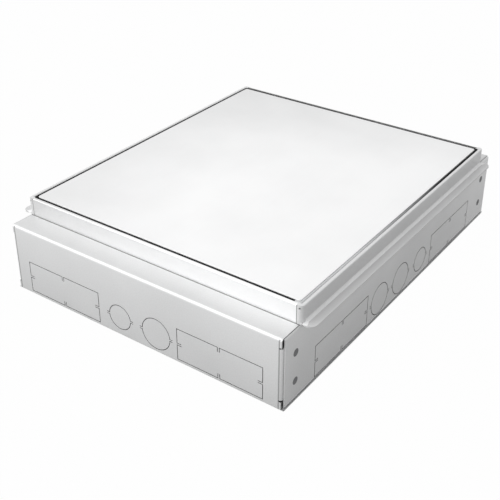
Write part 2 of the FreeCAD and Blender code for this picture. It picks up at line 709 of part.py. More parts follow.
# ---------------------------------------------------------------- levelling screws and their pads

def levelling_screw(name, side, end):
    """Hexagon screw that stands on its pad; turning it lifts the collar's corner."""
    body = new_body(f"levelling_screw_{name}")
    foot = floor + s.pad_height + s.screw_clearance
    nut_top = skirt_end - s.bracket_below + s.bracket_sheet + s.nut_height
    head = nut_top + s.collar_travel + s.screw_spare
    pad(body, "XY_Plane", "shank", head - foot, circles=[((ZERO, ZERO), s.screw_diameter)], offset=foot)
    pad(body, "XY_Plane", "head", s.screw_head_height, [hexagon(0, 0, s.screw_flats)], offset=head)
    place(body, s.screw_x * side, s.screw_y * end)


def levelling_pads():
    """Four square pads on the base, on which the levelling screws stand and turn."""
    body = new_body("levelling_pads")
    pad(body, "XY_Plane", "pads", s.pad_height, offset=floor, rings=[
        centred(s.screw_x * x, s.screw_y * y, s.pad_side, s.pad_side) for x in BOTH for y in BOTH])


for corner in CORNERS:
    levelling_screw(*corner)
levelling_pads()


# ---------------------------------------------------------------- lid

def lid_plate():
    """Plain steel plate, flush with the rim."""
    body = new_body("lid_plate")
    inset = s.rim_width + s.lid_gap
    pad(body, "XY_Plane", "plate", s.lid_sheet, offset=rim - s.lid_sheet, rings=[
        centred(0, 0, s.collar_width - inset * 2, s.collar_depth - inset * 2, s.lid_corner)])
    dress_edges(body, "Chamfer", "top_edge", s.lid_bevel,
                lambda edge: all(abs(vertex.Z - rim.number) < 1e-6 for vertex in edge.Vertexes))


def lid_stiffener(name, row):
    """Top-hat channel welded across the underside of the lid."""
    body = new_body(f"lid_stiffener_{name}")
    top = rim - s.lid_sheet
    bottom = top - s.hat_depth
    half = s.hat_width / 2
    inside = half - s.hat_sheet
    right = [(inside, bottom + s.hat_sheet), (inside, top), (half + s.hat_flange, top),
             (half + s.hat_flange, top - s.hat_sheet), (half, top - s.hat_sheet), (half, bottom)]
    left = [(-corner[0], *corner[1:]) for corner in reversed(right)]
    pad(body, "YZ_Plane", "channel", s.hat_length, [right + left], symmetric=True)
    place(body, along=s.hat_pitch * row)


lid_plate()
for name, row in (("front", -1), ("middle", 0), ("rear", 1)):
    lid_stiffener(name, row)


# ---------------------------------------------------------------- carriers, covers and partition

device_rows = [-s.device_pitch, ZERO, s.device_pitch]
face = ZERO                                       # a carrier's front face, in its own frame
foot_hole = s.foot_screw + s.hole_clearance * 2
cover_hole = s.cover_screw + s.hole_clearance * 2


def device_carrier(label, side):
    """Folded plate with three windows for outlets. Its foot is screwed down in the plug space."""
    body = new_body(label)
    section = [(s.carrier_foot, floor), (s.carrier_foot, floor + s.box_sheet),
               (face, floor + s.box_sheet, s.bend_inside), (face, s.carrier_top, s.bend_outside),
               (-s.carrier_shelf, s.carrier_top), (-s.carrier_shelf, s.carrier_top - s.box_sheet),
               (-s.box_sheet, s.carrier_top - s.box_sheet, s.bend_inside),
               (-s.box_sheet, floor, s.bend_outside)]
    pad(body, "XZ_Plane", "folded_plate", s.carrier_length, [section], symmetric=True)
    pocket(body, "YZ_Plane", "windows", symmetric=True, rings=[
        centred(row, s.device_height, s.device_window, s.device_window) for row in device_rows])
    pocket(body, "XY_Plane", "foot_holes", s.box_sheet, offset=floor + s.box_sheet,
           rings=[small_round((s.carrier_foot / 2 + s.bend_inside, s.foot_screw_y * end), foot_hole) for end in BOTH])
    pocket(body, "XY_Plane", "shelf_holes", s.box_sheet, offset=s.carrier_top,
           rings=[small_round((-s.carrier_shelf / 2, s.cover_screw_y * end), cover_hole) for end in BOTH])
    place(body, s.carrier_x * side, quarter_turns=1 + side)


def wiring_cover(label, side):
    """Cover over the wires behind the outlets, with its outer edge turned down."""
    body = new_body(label)
    inner, outer = face - s.box_sheet, face - s.cover_reach
    top = s.carrier_top + s.box_sheet
    pad(body, "XZ_Plane", "folded_plate", s.carrier_length, symmetric=True, rings=[[
        (inner, s.carrier_top), (inner, top), (outer, top, s.bend_outside), (outer, top - s.cover_drop),
        (outer + s.box_sheet, top - s.cover_drop), (outer + s.box_sheet, s.carrier_top, s.bend_inside)]])
    pocket(body, "XY_Plane", "screw_holes", s.box_sheet, offset=top,
           rings=[small_round((-s.carrier_shelf / 2, s.cover_screw_y * end), cover_hole) for end in BOTH])
    place(body, s.carrier_x * side, quarter_turns=1 + side)


def centre_partition():
    """Upright plate that keeps power and data apart."""
    body = new_body("centre_partition")
    half = s.box_sheet / 2
    section = [(-half, floor, s.bend_outside), (half + s.partition_foot, floor),
               (half + s.partition_foot, floor + s.box_sheet), (half, floor + s.box_sheet, s.bend_inside),
               (half, s.partition_top), (-half, s.partition_top)]
    pad(body, "XZ_Plane", "folded_plate", s.carrier_length, [section], symmetric=True)
    dress_edges(body, "Fillet", "upper_corners", s.partition_round, lambda edge: all(
        abs(vertex.Z - s.partition_top.number) < 1e-6 for vertex in edge.Vertexes)
        and abs(edge.Vertexes[0].Y - edge.Vertexes[-1].Y) < 1e-6)


def hexagon_screws(label, spots, bottom, seat_height, shank, flats, head_height):
    """Hexagon-head screws in one node."""
    body = new_body(label)
    pad(body, "XY_Plane", "shanks", seat_height - bottom, [small_round(spot, shank) for spot in spots],
        offset=bottom)
    pad(body, "XY_Plane", "heads", head_height, [hexagon(*spot, flats) for spot in spots], offset=seat_height)


device_carrier("power_carrier", -1)
device_carrier("data_carrier", 1)
wiring_cover("power_wiring_cover", -1)
wiring_cover("data_wiring_cover", 1)
centre_partition()
foot_screw_x = s.carrier_x - s.carrier_foot / 2 - s.bend_inside
hexagon_screws("foot_screws", [(foot_screw_x * side, s.foot_screw_y * end) for end in BOTH for side in BOTH],
               floor, floor + s.box_sheet, s.foot_screw, s.foot_screw_flats, s.foot_screw_head_height)
cover_screw_x = s.carrier_x + s.carrier_shelf / 2
cover_top = s.carrier_top + s.box_sheet
hexagon_screws("cover_screws", [(cover_screw_x * side, s.cover_screw_y * end) for end in BOTH for side in BOTH],
               cover_top - s.cover_screw_length, cover_top, s.cover_screw, s.cover_screw_flats,
               s.cover_screw_head_height)


# ---------------------------------------------------------------- outlets

def bezelled_body(label, depth):
    """Square moulding whose bezel lies on the carrier's face and whose body fills the window."""
    body = new_body(label)
    pad(body, "YZ_Plane", "bezel", s.bezel_depth,
        [centred(0, 0, s.bezel_side, s.bezel_side)])
    dress_edges(body, "Chamfer", "bezel_edge", s.bezel_bevel, lambda edge: all(
        abs(vertex.X - s.bezel_depth.number) < 1e-6 for vertex in edge.Vertexes))
    pad(body, "YZ_Plane", "body", depth, [centred(0, 0, s.device_body, s.device_body)], reverse=True)
    return body


def seat_outlet(body, side, row):
    """Puts an outlet, modelled with its face towards +X, in a window of a carrier."""
    place(body, s.carrier_x * side, device_rows[row] * (-side), s.device_height, quarter_turns=1 + side)


cup_back = s.bezel_depth - s.cup_depth - s.cup_floor      # back of the recess's floor, from the carrier's face
strap_edge = s.strap_span / 2
strap_back = cup_back - s.shutter_thick - s.device_clearance * 2
pin_spots = [(s.pin_pitch / 2 * side, ZERO) for side in BOTH]


def socket_face(label):
    """Moulded front with the round plug recess, its side guides, pin holes and slots for the earth strap."""
    body = bezelled_body(label, -cup_back)
    pocket(body, "YZ_Plane", "recess", s.cup_depth, offset=s.bezel_depth, circles=[((ZERO, ZERO), s.cup_diameter)])
    cup = s.cup_diameter / 2
    guide_start = cup_back + s.cup_floor
    guide_end = s.bezel_depth - s.guide_below
    pad(body, "YZ_Plane", "guides", guide_end - guide_start, offset=guide_start, rings=[
        rectangle((cup - s.guide_depth) * side, (cup + s.box_sheet) * side, -s.guide_width / 2, s.guide_width / 2)
        for side in BOTH])
    pocket(body, "YZ_Plane", "pin_holes", rings=[small_round(spot, s.pin_hole) for spot in pin_spots],
           symmetric=True)
    room = s.strap_thick + s.device_clearance * 2
    pocket(body, "YZ_Plane", "strap_slots", symmetric=True, rings=[
        centred(0, (strap_edge - s.strap_thick / 2) * end, s.strap_width + s.device_clearance * 2, room)
        for end in BOTH])
    return body


def socket_block(label):
    """Rear block, hollowed for the shutter, the two contacts and the earth strap."""
    body = new_body(label)
    pad(body, "YZ_Plane", "block", s.block_depth, [centred(0, 0, s.device_body, s.device_body)],
        offset=cup_back, reverse=True)
    clearance = s.device_clearance
    pocket(body, "YZ_Plane", "shutter_track", cup_back - strap_back, offset=cup_back, rings=[
        rectangle(-s.shutter_length / 2 - clearance, s.shutter_length / 2 + s.shutter_travel + clearance,
                  -s.shutter_width / 2 - clearance, s.shutter_width / 2 + clearance)])
    pocket(body, "YZ_Plane", "chambers", s.chamber_depth, offset=cup_back, rings=[
        centred(*spot, s.chamber, s.chamber) for spot in pin_spots])
    pocket(body, "YZ_Plane", "strap_channel", cup_back - strap_back + s.strap_thick + clearance, offset=cup_back,
           rings=[centred(0, 0, s.strap_width + clearance * 2, s.strap_span + clearance * 2)])
    return body


def socket_contacts(label):
    """Two brass clips of U section that grip the plug's pins."""
    body = new_body(label)
    half = s.contact_side / 2
    inside = half - s.contact_leaf
    clip = [(-half, half), (-half, -half), (half, -half), (half, half), (inside, half), (inside, -inside),
            (-inside, -inside), (-inside, half)]
    pad(body, "YZ_Plane", "clips", s.contact_length, offset=strap_back - s.device_clearance, reverse=True,
        rings=[[(centre[0] + across, up) for across, up in clip] for centre in pin_spots])
    return body


def socket_earth_strap(label):
    """Bent strap behind the shutter whose two arms stand in the plug recess, above and below."""
    body = new_body(label)
    tip = s.bezel_depth - s.strap_tip_below
    back = strap_back - s.strap_thick
    outer = [(tip, strap_edge), (back, strap_edge, s.bend_inside), (back, -strap_edge, s.bend_inside),
             (tip, -strap_edge)]
    inner = [(tip, -strap_edge + s.strap_thick), (strap_back, -strap_edge + s.strap_thick),
             (strap_back, strap_edge - s.strap_thick), (tip, strap_edge - s.strap_thick)]
    pad(body, "XZ_Plane", "strap", s.strap_width, [outer + inner], symmetric=True)
    return body


def socket_shutter(label):
    """Slide behind the recess's floor that closes both pin holes."""
    body = new_body(label)
    pad(body, "YZ_Plane", "slide", s.shutter_thick, offset=cup_back - s.device_clearance, reverse=True,
        rings=[centred(0, 0, s.shutter_length, s.shutter_width)])
    return body


def data_plate(label):
    """Moulded plate with two windows for jacks."""
    body = bezelled_body(label, s.data_body_depth)
    room = s.device_clearance
    pocket(body, "YZ_Plane", "jack_windows", symmetric=True, rings=[
        centred(s.jack_offset * side, 0, s.jack_width + room, s.jack_height + room) for side in BOTH])
    return body


def data_jacks(label):
    """Two jacks, each with a port and its latch slot below."""
    body = new_body(label)
    pad(body, "YZ_Plane", "jacks", s.jack_proud + s.jack_depth, offset=s.jack_proud, reverse=True, rings=[
        centred(s.jack_offset * side, 0, s.jack_width, s.jack_height) for side in BOTH])
    half, key = s.port_width / 2, s.port_key_width / 2
    top, ledge = s.port_height / 2, -s.port_height / 2
    port = [(-half, top), (-half, ledge), (-key, ledge), (-key, ledge - s.port_key_height),
            (key, ledge - s.port_key_height), (key, ledge), (half, ledge), (half, top)]
    pocket(body, "YZ_Plane", "ports", s.port_depth, offset=s.jack_proud, rings=[
        [(s.jack_offset * side + across, up) for across, up in port] for side in BOTH])
    return body


for row in range(3):
    for build, piece in ((socket_face, "face"), (socket_block, "block"), (socket_contacts, "contacts"),
                         (socket_earth_strap, "earth_strap"), (socket_shutter, "shutter")):
        seat_outlet(build(f"power_socket_{row + 1}_{piece}"), -1, row)
    for build, piece in ((data_plate, "plate"), (data_jacks, "jacks")):
        seat_outlet(build(f"data_outlet_{row + 1}_{piece}"), 1, row)


# ---------------------------------------------------------------- earth terminal

def earth_terminal():
    """Stud welded on the base, with a washer under its nut."""
    spot = (-s.stud_x, s.stud_y)
    bore = s.stud_diameter + s.thread_clearance * 2
    stud, washer, nut = (new_body(f"earth_{piece}") for piece in ("stud", "washer", "nut"))
    pad(stud, "XY_Plane", "thread", s.stud_length, [small_round(spot, s.stud_diameter)], offset=floor)
    pad(washer, "XY_Plane", "disc", s.washer_height, offset=floor,
        rings=[small_round(spot, s.washer_diameter), small_round(spot, bore)])
    pad(nut, "XY_Plane", "hexagon", s.stud_nut_height, [hexagon(*spot, s.stud_nut_flats), small_round(spot, bore)],
        offset=floor + s.washer_height)


earth_terminal()


# ---------------------------------------------------------------- check and write

doc.recompute()
for item in doc.Objects:
    faults = {"Invalid", "Error"} & set(item.State)
    if faults:
        raise RuntimeError(f"{item.Name} did not build: {item.State}")
    if item.isDerivedFrom("PartDesign::Pocket") and item.Shape.Volume > item.BaseFeature.Shape.Volume - 1e-3:
        raise RuntimeError(f"{item.Name} cuts nothing")
for part in sub_parts:
    if part.Shape.isNull() or not part.Shape.isValid() or not part.Shape.Solids:
        raise RuntimeError(f"{part.Label} has no valid solid")

os.makedirs("parts", exist_ok=True)
for part in sub_parts:
    part.Shape.exportStep(f"parts/{part.Label}.step")
    print(f"{part.Label}: {len(part.Shape.Solids)} solid(s), {part.Shape.Volume:.0f} mm3")
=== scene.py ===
import math

import bpy
import numpy as np
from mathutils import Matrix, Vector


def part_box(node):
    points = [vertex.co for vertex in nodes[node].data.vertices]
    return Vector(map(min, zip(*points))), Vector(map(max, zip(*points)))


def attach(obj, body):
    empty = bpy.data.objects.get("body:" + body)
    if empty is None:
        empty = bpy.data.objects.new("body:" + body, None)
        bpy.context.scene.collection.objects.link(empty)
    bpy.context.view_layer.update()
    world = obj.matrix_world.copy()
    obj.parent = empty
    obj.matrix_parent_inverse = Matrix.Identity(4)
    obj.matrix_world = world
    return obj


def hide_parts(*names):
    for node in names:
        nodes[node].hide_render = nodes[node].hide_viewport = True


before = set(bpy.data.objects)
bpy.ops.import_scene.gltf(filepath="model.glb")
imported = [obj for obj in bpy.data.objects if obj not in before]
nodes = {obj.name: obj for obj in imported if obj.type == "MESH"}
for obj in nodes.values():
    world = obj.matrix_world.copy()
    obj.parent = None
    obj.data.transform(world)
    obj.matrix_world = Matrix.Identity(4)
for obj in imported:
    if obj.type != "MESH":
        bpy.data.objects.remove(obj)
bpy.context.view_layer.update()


# ---------------------------------------------------------------- folded box
# One blank of hot-dip galvanised sheet makes the base, the front and rear walls, their ledges and the
# corner tabs. The zinc is satin, with faint clouds where it froze and fine lines along the rolled
# sheet. Its colour is painted darker towards the foot, painted shade, and painted shade also darkens
# the sides of the knock-out slits, the walls' ends and the ledge tops, with painted shadow lines where
# the collar stands on the ledges and along the corner tabs.


def feed(tree, value, socket):
    """Sets a socket to a number, or links it to the socket that its value comes from."""
    if isinstance(value, bpy.types.NodeSocket):
        tree.links.new(value, socket)
    else:
        socket.default_value = value


def maths(tree, operation, *values):
    """A math node in this tree; each value is a number or a socket."""
    node = tree.nodes.new("ShaderNodeMath")
    node.operation = operation
    for socket, value in zip(node.inputs, values):
        feed(tree, value, socket)
    return node.outputs[0]


def ramp(tree, value, start, end):
    """0 at start and 1 at end, even between them and level beyond them."""
    node = tree.nodes.new("ShaderNodeMapRange")
    node.inputs["From Min"].default_value = start
    node.inputs["From Max"].default_value = end
    tree.links.new(value, node.inputs["Value"])
    return node.outputs["Result"]


def new_group(name, takes, gives):
    """An empty node group with these inputs and outputs: its tree, what it is given, what it puts out,
    and the piece's own coordinates. A socket is a number unless it is a colour or a direction."""
    group = bpy.data.node_groups.new(name, "ShaderNodeTree")
    kinds = {"Colour": "NodeSocketColor", "Across": "NodeSocketVector", "Along": "NodeSocketVector"}
    for labels, side in ((takes, "INPUT"), (gives, "OUTPUT")):
        for label in labels:
            kind = kinds.get(label, "NodeSocketFloat")
            group.interface.new_socket(label, in_out=side, socket_type=kind)
    given, result = group.nodes.new("NodeGroupInput"), group.nodes.new("NodeGroupOutput")
    place = group.nodes.new("ShaderNodeTexCoord").outputs["Object"]
    return group, given.outputs, result.inputs, place


box_side, box_end, box_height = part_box("box_body")[1]
line_stretch = (900, 15, 900)
grain_fineness = 900
# Middle and reaches of the painted light: the colour is paler round this middle and painted darker out to
# the far reach.
painted_light_middle = (0.1, -0.04, 0.075)
painted_light_reach, painted_shade_reach = 0.12, 0.28


def sheet_finish_group():
    """Finish of rolled sheet. Three noises on the piece's own coordinates, each less 1/2, add up to one
    change: broad clouds, lines stretched 60 times the way the sheet was rolled, and fine grain. Colour
    = base x (1 - change - foot shade x (1 - z / box height) - painted light x ramp of the distance from
    the pale middle) x (1 - painted shading - painted shadow lines). The foot shade is painted shade,
    darker towards the foot; the painted light leaves the pale middle paler than what lies beyond it;
    the painted shading and the painted shadow lines are painted shade, and the shading is a painted
    highlight where it is below 0. Roughness and height follow the change."""
    group, given, result, place = new_group(
        "Rolled sheet finish",
        ("Colour", "Cloud scale", "Clouds", "Lines", "Grain", "Foot shade", "Painted light", "Seam", "Roughness"),
        ("Colour", "Roughness", "Height"))
    add, link = group.nodes.new, group.links.new

    def noise(amount, scale, stretch=(1, 1, 1), detail=2):
        mapping, texture = add("ShaderNodeMapping"), add("ShaderNodeTexNoise")
        mapping.inputs["Scale"].default_value = stretch
        texture.inputs["Detail"].default_value = detail
        feed(group, scale, texture.inputs["Scale"])
        link(place, mapping.inputs["Vector"])
        link(mapping.outputs["Vector"], texture.inputs["Vector"])
        return maths(group, "MULTIPLY", maths(group, "SUBTRACT", texture.outputs["Fac"], 0.5), amount)

    clouds = noise(given["Clouds"], given["Cloud scale"], detail=3)
    lines = noise(given["Lines"], 1, line_stretch)
    grain = noise(given["Grain"], grain_fineness)
    change = maths(group, "ADD", maths(group, "ADD", clouds, lines), grain)

    split, distance = add("ShaderNodeSeparateXYZ"), add("ShaderNodeVectorMath")
    distance.operation = "DISTANCE"
    distance.inputs[1].default_value = painted_light_middle
    link(place, split.inputs[0])
    link(place, distance.inputs[0])
    # Painted shade, darker towards the foot, and painted light, paler round the middle.
    foot = maths(group, "MULTIPLY", ramp(group, split.outputs["Z"], box_height, 0), given["Foot shade"])
    painted_falloff = ramp(group, distance.outputs["Value"], painted_light_reach, painted_shade_reach)
    painted_light_patch = maths(group, "MULTIPLY", painted_falloff, given["Painted light"])
    bright = maths(group, "SUBTRACT", 1, change)
    bright = maths(group, "SUBTRACT", maths(group, "SUBTRACT", bright, foot), painted_light_patch)

    # Painted shade and painted highlight, face by face, from the piece's painted shading attribute.
    painted_shading_node = add("ShaderNodeAttribute")
    painted_shading_node.attribute_name = "painted_shading"
    dark = maths(group, "ADD", painted_shading_node.outputs["Fac"], given["Seam"])
    tint = add("ShaderNodeVectorMath")
    tint.operation = "SCALE"
    link(given["Colour"], tint.inputs[0])
    link(maths(group, "MULTIPLY", bright, maths(group, "SUBTRACT", 1, dark)), tint.inputs["Scale"])
    link(tint.outputs[0], result["Colour"])
    link(maths(group, "ADD", given["Roughness"], change), result["Roughness"])
    link(change, result["Height"])
    return group


def shadow_line_group():
    """A painted shadow line where two sheets meet: 1 where the distance across, |P . across|, is within
    half a width of its place and the distance along, |P . along|, is over its start."""
    group, given, result, place = new_group(
        "Painted shadow line", ("Across", "Place", "Half width", "Along", "Start"), ("Line",))

    def distance(direction):
        product = group.nodes.new("ShaderNodeVectorMath")
        product.operation = "DOT_PRODUCT"
        group.links.new(place, product.inputs[0])
        group.links.new(given[direction], product.inputs[1])
        return maths(group, "ABSOLUTE", product.outputs["Value"])

    band = maths(group, "COMPARE", distance("Across"), given["Place"], given["Half width"])
    beyond = maths(group, "GREATER_THAN", distance("Along"), given["Start"])
    group.links.new(maths(group, "MULTIPLY", band, beyond), result["Line"])
    return group


rolled_sheet = sheet_finish_group()
painted_shadow_line = shadow_line_group()
relief_height, relief_strength = 0.0002, 0.25


def shadow_line(across, place, half_width, along, start, darkness):
    """What the shadow line group is given for one painted shadow line, and how much brightness the line
    loses.
    """
    given = {"Across": across, "Place": place, "Half width": half_width, "Along": along, "Start": start}
    return given, darkness


def sheet_metal(name, colour, roughness, metallic, clouds=0.08, lines=0.03, cloud_scale=16.0, grain=0.0,
                foot_shade=0.0, painted_light_patch=0.0, shadow_lines=()):
    """Satin sheet: the rolled finish feeds colour, roughness and a very low bump."""
    material = bpy.data.materials.new(name)
    material.use_nodes = True
    tree = material.node_tree
    add, link = tree.nodes.new, tree.links.new
    shader = tree.nodes["Principled BSDF"]
    finish = add("ShaderNodeGroup")
    finish.node_tree = rolled_sheet
    given = {"Colour": (*colour, 1), "Cloud scale": cloud_scale, "Clouds": clouds, "Lines": lines,
             "Grain": grain, "Foot shade": foot_shade, "Painted light": painted_light_patch, "Roughness": roughness}
    for label, value in given.items():
        finish.inputs[label].default_value = value
    # Painted shadow lines: each darkens the colour by its darkness where it lies.
    darkest = 0.0
    for line_given, darkness in shadow_lines:
        line = add("ShaderNodeGroup")
        line.node_tree = painted_shadow_line
        for label, value in line_given.items():
            line.inputs[label].default_value = value
        darkest = maths(tree, "MAXIMUM", darkest, maths(tree, "MULTIPLY", line.outputs["Line"], darkness))
        link(darkest, finish.inputs["Seam"])
    bump = add("ShaderNodeBump")
    bump.inputs["Strength"].default_value = relief_strength
    bump.inputs["Distance"].default_value = relief_height
    shader.inputs["Metallic"].default_value = metallic
    link(finish.outputs["Colour"], shader.inputs["Base Color"])
    link(finish.outputs["Roughness"], shader.inputs["Roughness"])
    link(finish.outputs["Height"], bump.inputs["Height"])
    link(bump.outputs["Normal"], shader.inputs["Normal"])
    return material


def dress(material, *names):
    """Gives each named piece this material in all its slots."""
    for name in names:
        for slot in nodes[name].material_slots:
            slot.material = material


def painted_shading(name, *shares):
    """Writes the painted shading of each face of a piece: how much of its brightness the face loses,
    painted shade, or gains where the amount is below 0, a painted highlight. A share is an amount and a
    rule, and the rule takes the faces' middles, normals and extents, all without signs, as whole arrays."""
    mesh = nodes[name].data
    points = np.empty(len(mesh.vertices) * 3)
    mesh.vertices.foreach_get("co", points)
    faces = np.empty(len(mesh.polygons) * 3, dtype=np.int64)
    mesh.polygons.foreach_get("vertices", faces)
    triangle = points.reshape(-1, 3)[faces.reshape(-1, 3)]
    normal = np.cross(triangle[:, 1] - triangle[:, 0], triangle[:, 2] - triangle[:, 0])
    normal = np.abs(normal) / np.linalg.norm(normal, axis=1)[:, None].clip(1e-20)
    middle = np.abs(triangle.mean(axis=1))
    extent = triangle.max(axis=1) - triangle.min(axis=1)
    lost = np.zeros(len(triangle))
    for amount, rule in shares:
        lost[rule(middle, normal, extent)] = amount
    mesh.attributes.new("painted_shading", "FLOAT", "FACE").data.foreach_set("value", lost)


sheet = 0.0012
rounding = 0.00002
square_on, edge_on = 0.99, 0.1
# Painted shade on the sides of the knock-out slits, on the walls' ends and evenly on the ledge tops.
slit_side_shade, wall_end_shade, ledge_shade = 0.85, 0.5, 0.13


def slit_sides(axis, along, end):
    """Faces that stand square to a wall and span its thickness, short of the wall's end."""
    return lambda middle, normal, extent: (
        (normal[:, axis] < edge_on) & (np.abs(extent[:, axis] - sheet) < rounding)
        & (middle[:, along] < end))


def sheet_end(axis, start):
    """Faces square to this axis beyond start: the ends of the sheet."""
    return lambda middle, normal, extent: (normal[:, axis] > square_on) & (middle[:, axis] > start)


def ledge_top(middle, normal, extent):
    """Flat faces on top of the two ledges."""
    return (normal[:, 2] > square_on) & (middle[:, 2] > box_height - 0.0001)


sideways, lengthways, upwards = (1, 0, 0), (0, 1, 0), (0, 0, 1)
wall_end = box_side - 0.002
bar_end, collar_back, collar_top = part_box("collar_rear_bar")[1]
# Painted shadow lines: on the ledge where the collar's foot stands, and along the corner tabs' fold
# beside the side plates.
collar_foot_shadow = shadow_line(lengthways, collar_back + 0.0004, 0.00045, upwards, box_height - 0.0002, 0.65)
tab_fold_shadow = shadow_line(sideways, box_side - 0.00355, 0.00055, lengthways, box_end - 0.0008, 0.5)
box_finish = {"colour": (0.78, 0.784, 0.786), "roughness": 0.42, "metallic": 0.3, "clouds": 0.12,
              "grain": 0.12, "foot_shade": 0.22}
dress(sheet_metal("galvanised box sheet", **box_finish, shadow_lines=(collar_foot_shadow, tab_fold_shadow)), "box_body")
painted_shading("box_body", (slit_side_shade, slit_sides(1, 0, wall_end)), (wall_end_shade, sheet_end(0, wall_end)),
        (ledge_shade, ledge_top))


# ---------------------------------------------------------------- side plates
# Two plates of the same galvanised sheet, each folded in at the top and the foot and laid outside the
# corner tabs. Knock-outs for duct and conduit are cut in them, as in the end walls, with painted shade
# on their sides. Both are painted darker towards the foot, painted shade; the right plate is painted
# darker than the left, painted shade, and paler towards its rear end, painted light.

galvanised = sheet_metal("galvanised sheet", **box_finish)
# The right plate: the same sheet in a darker colour, painted shade, paler towards the rear, painted
# light.
shaded_right_plate_finish = box_finish | {"colour": (0.68, 0.683, 0.685), "painted_light_patch": -0.35}
dress(galvanised, "left_side_plate")
dress(sheet_metal("galvanised right plate, painted shade", **shaded_right_plate_finish), "right_side_plate")
for plate in ("left_side_plate", "right_side_plate"):
    plate_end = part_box(plate)[1][1] - 0.0001
    painted_shading(plate, (slit_side_shade, slit_sides(0, 1, plate_end)))


# ---------------------------------------------------------------- rivets
# Eight flush steel rivets, two at each end of a side plate, hold it to the corner tabs. They are set
# flat with the sheet and are darker and duller than the zinc round them.

rivet_steel = sheet_metal("rivet steel", (0.16, 0.16, 0.165), 0.6, 0.2, clouds=0.2, cloud_scale=300.0)
dress(rivet_steel, "side_plate_rivets")


# ---------------------------------------------------------------- levelling collar
# Four folded bars of brighter sheet make the collar that frames the lid and slides up out of the box.
# The side bars turn round the corners and carry a flange that lies over the side plates. The side bars
# are painted darker than the end bars, painted shade, their flanges darker still, painted shade, and
# the hollow bend between wall and flange is a painted highlight. The end bars are painted darker away
# from a pale middle, painted light, and painted shadow lines lie where the end bars meet the side bars
# and on the rim of the rear bar along the gap behind the lid.

corners = ("front_left", "front_right", "rear_left", "rear_right")
flange_reach, flange_height = 0.0088, 0.002
cove_start, cove_reach, cove_height = 0.0001, 0.0021, 0.0034
bar_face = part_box("collar_right_bar")[1][0] - flange_reach
seal_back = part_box("lid_seal")[1][1]
# Painted shadow lines: where the end bars meet the side bars, and on the rear bar's rim along the gap
# behind the lid.
gap_shadow_half_width = 0.0007
# Painted shade on the side bars' flanges, and a painted highlight in the hollow bend above them.
flange_shade, cove_highlight = 0.14, -0.26
bar_joint_shadow = shadow_line(sideways, bar_end + 0.00025, 0.00028, lengthways, collar_back - 0.0001, 0.7)
rear_gap_shadow = shadow_line(lengthways, seal_back + gap_shadow_half_width, gap_shadow_half_width, upwards, collar_top - 0.0005, 0.95)


def flange(middle, normal, extent):
    """Faces of the strip that lies out over the side plate."""
    return (middle[:, 0] > bar_face + cove_reach) & (middle[:, 2] < box_height + flange_height)


def cove(middle, normal, extent):
    """Faces of the hollow bend between wall and flange, which are painted brighter, a painted highlight.
    """
    return ((middle[:, 0] > bar_face + cove_start) & (middle[:, 0] < bar_face + cove_reach)
            & (middle[:, 2] < box_height + cove_height))


# The end bars are painted darker away from the pale middle, painted light.
end_bar_finish = {"colour": (0.96, 0.962, 0.965), "roughness": 0.32, "metallic": 0.4, "clouds": 0.06,
                  "grain": 0.05, "painted_light_patch": 0.3}
rear_bar_sheet = sheet_metal("collar rear bar sheet", **end_bar_finish, shadow_lines=(rear_gap_shadow,))
# The side bars: the same sheet in a darker colour, painted shade.
shaded_side_bar_sheet = sheet_metal("collar side bar sheet, painted shade", (0.77, 0.772, 0.775), 0.4, 0.05, clouds=0.1,
                             cloud_scale=12.0, grain=0.1, shadow_lines=(bar_joint_shadow,))
dress(sheet_metal("collar front bar sheet", **end_bar_finish), "collar_front_bar")
dress(rear_bar_sheet, "collar_rear_bar")
dress(shaded_side_bar_sheet, *[f"levelling_bracket_{corner}" for corner in corners])
for bar in ("collar_left_bar", "collar_right_bar"):
    dress(shaded_side_bar_sheet, bar)
    painted_shading(bar, (flange_shade, flange), (cove_highlight, cove))


# ---------------------------------------------------------------- lid seal
# An extruded strip of black rubber, glued in the rim. Its flat leg carries the lid, and its upright leg
# closes the gap round the lid with a rounded lip just below the rim. Its right leg is painted paler,
# painted light, the most towards the front.

def moulding(name, colour, roughness, grain_scale, grain, specular=0.5):
    """Plastic or rubber: fine noise moves roughness by the grain, darkens the colour by up to 4
    hundredths and feeds a low bump."""
    material = bpy.data.materials.new(name)
    material.use_nodes = True
    add, link = material.node_tree.nodes.new, material.node_tree.links.new
    shader = material.node_tree.nodes["Principled BSDF"]
    place, noise, spread = add("ShaderNodeTexCoord"), add("ShaderNodeTexNoise"), add("ShaderNodeMapRange")
    noise.inputs["Scale"].default_value = grain_scale
    noise.inputs["Detail"].default_value = 2
    spread.inputs["To Min"].default_value = roughness - grain
    spread.inputs["To Max"].default_value = roughness + grain
    tint = add("ShaderNodeMix")
    tint.data_type = "RGBA"
    tint.inputs["A"].default_value = (*[channel * 0.96 for channel in colour], 1)
    tint.inputs["B"].default_value = (*colour, 1)
    bump = add("ShaderNodeBump")
    bump.inputs["Strength"].default_value = 0.3
    bump.inputs["Distance"].default_value = 0.0001
    shader.inputs["Specular IOR Level"].default_value = specular
    link(place.outputs["Object"], noise.inputs["Vector"])
    link(noise.outputs["Fac"], spread.inputs["Value"])
    link(noise.outputs["Fac"], tint.inputs["Factor"])
    link(noise.outputs["Fac"], bump.inputs["Height"])
    link(tint.outputs["Result"], shader.inputs["Base Color"])
    link(spread.outputs["Result"], shader.inputs["Roughness"])
    link(bump.outputs["Normal"], shader.inputs["Normal"])
    return material


